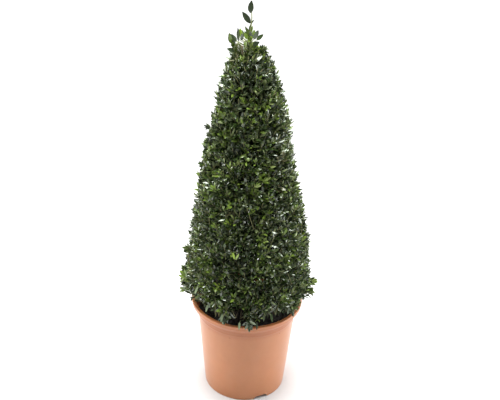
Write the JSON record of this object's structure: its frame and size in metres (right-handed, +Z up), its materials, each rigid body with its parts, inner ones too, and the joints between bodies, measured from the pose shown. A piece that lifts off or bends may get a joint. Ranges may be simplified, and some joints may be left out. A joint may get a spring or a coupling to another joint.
{
  "type": "boxwood cone topiary in a pot",
  "caption": "Evergreen box shrub clipped to a slender uneven cone with a leafy leader shoot, growing in a round tapered terracotta-coloured plastic pot.",
  "frame": {"origin": "centre of the pot's flat underside, on the pot's axis, at the level it stands on", "axes": "+Z up along the pot's axis to the leader shoot; -Y to the front of the plant; +X to its right seen from the front"},
  "size_m": [0.283, 0.2646, 0.832],
  "materials": {
    "pot_plastic": "satin",
    "compost": "matte",
    "stem_bark": "matte",
    "green_shoot": "satin",
    "clipped_leaves": "satin",
    "young_leaves": "satin"
  },
  "bodies": {
    "root": {"pot": "pot_plastic", "growing_medium": "compost", "main_stem": "stem_bark", "leader_stem": "green_shoot", "crown_cone": "clipped_leaves", "leader_tip_leaves": "young_leaves", "leader_left_leaf": "young_leaves", "leader_young_leaves": "young_leaves", "crest_tuft": "young_leaves", "left_shoulder_tuft": "young_leaves", "left_upright_shoot": "young_leaves", "right_shoulder_tuft": "young_leaves", "upper_left_sprig": "young_leaves", "lower_left_tuft_upper": "young_leaves", "lower_left_tuft_middle": "young_leaves", "lower_left_tuft_lower": "young_leaves", "lower_right_tuft_upper": "young_leaves", "lower_right_tuft_lower": "young_leaves", "skirt_front_tuft": "young_leaves", "skirt_front_left_tuft": "young_leaves", "skirt_right_tuft": "young_leaves"}
  },
  "joints": []
}
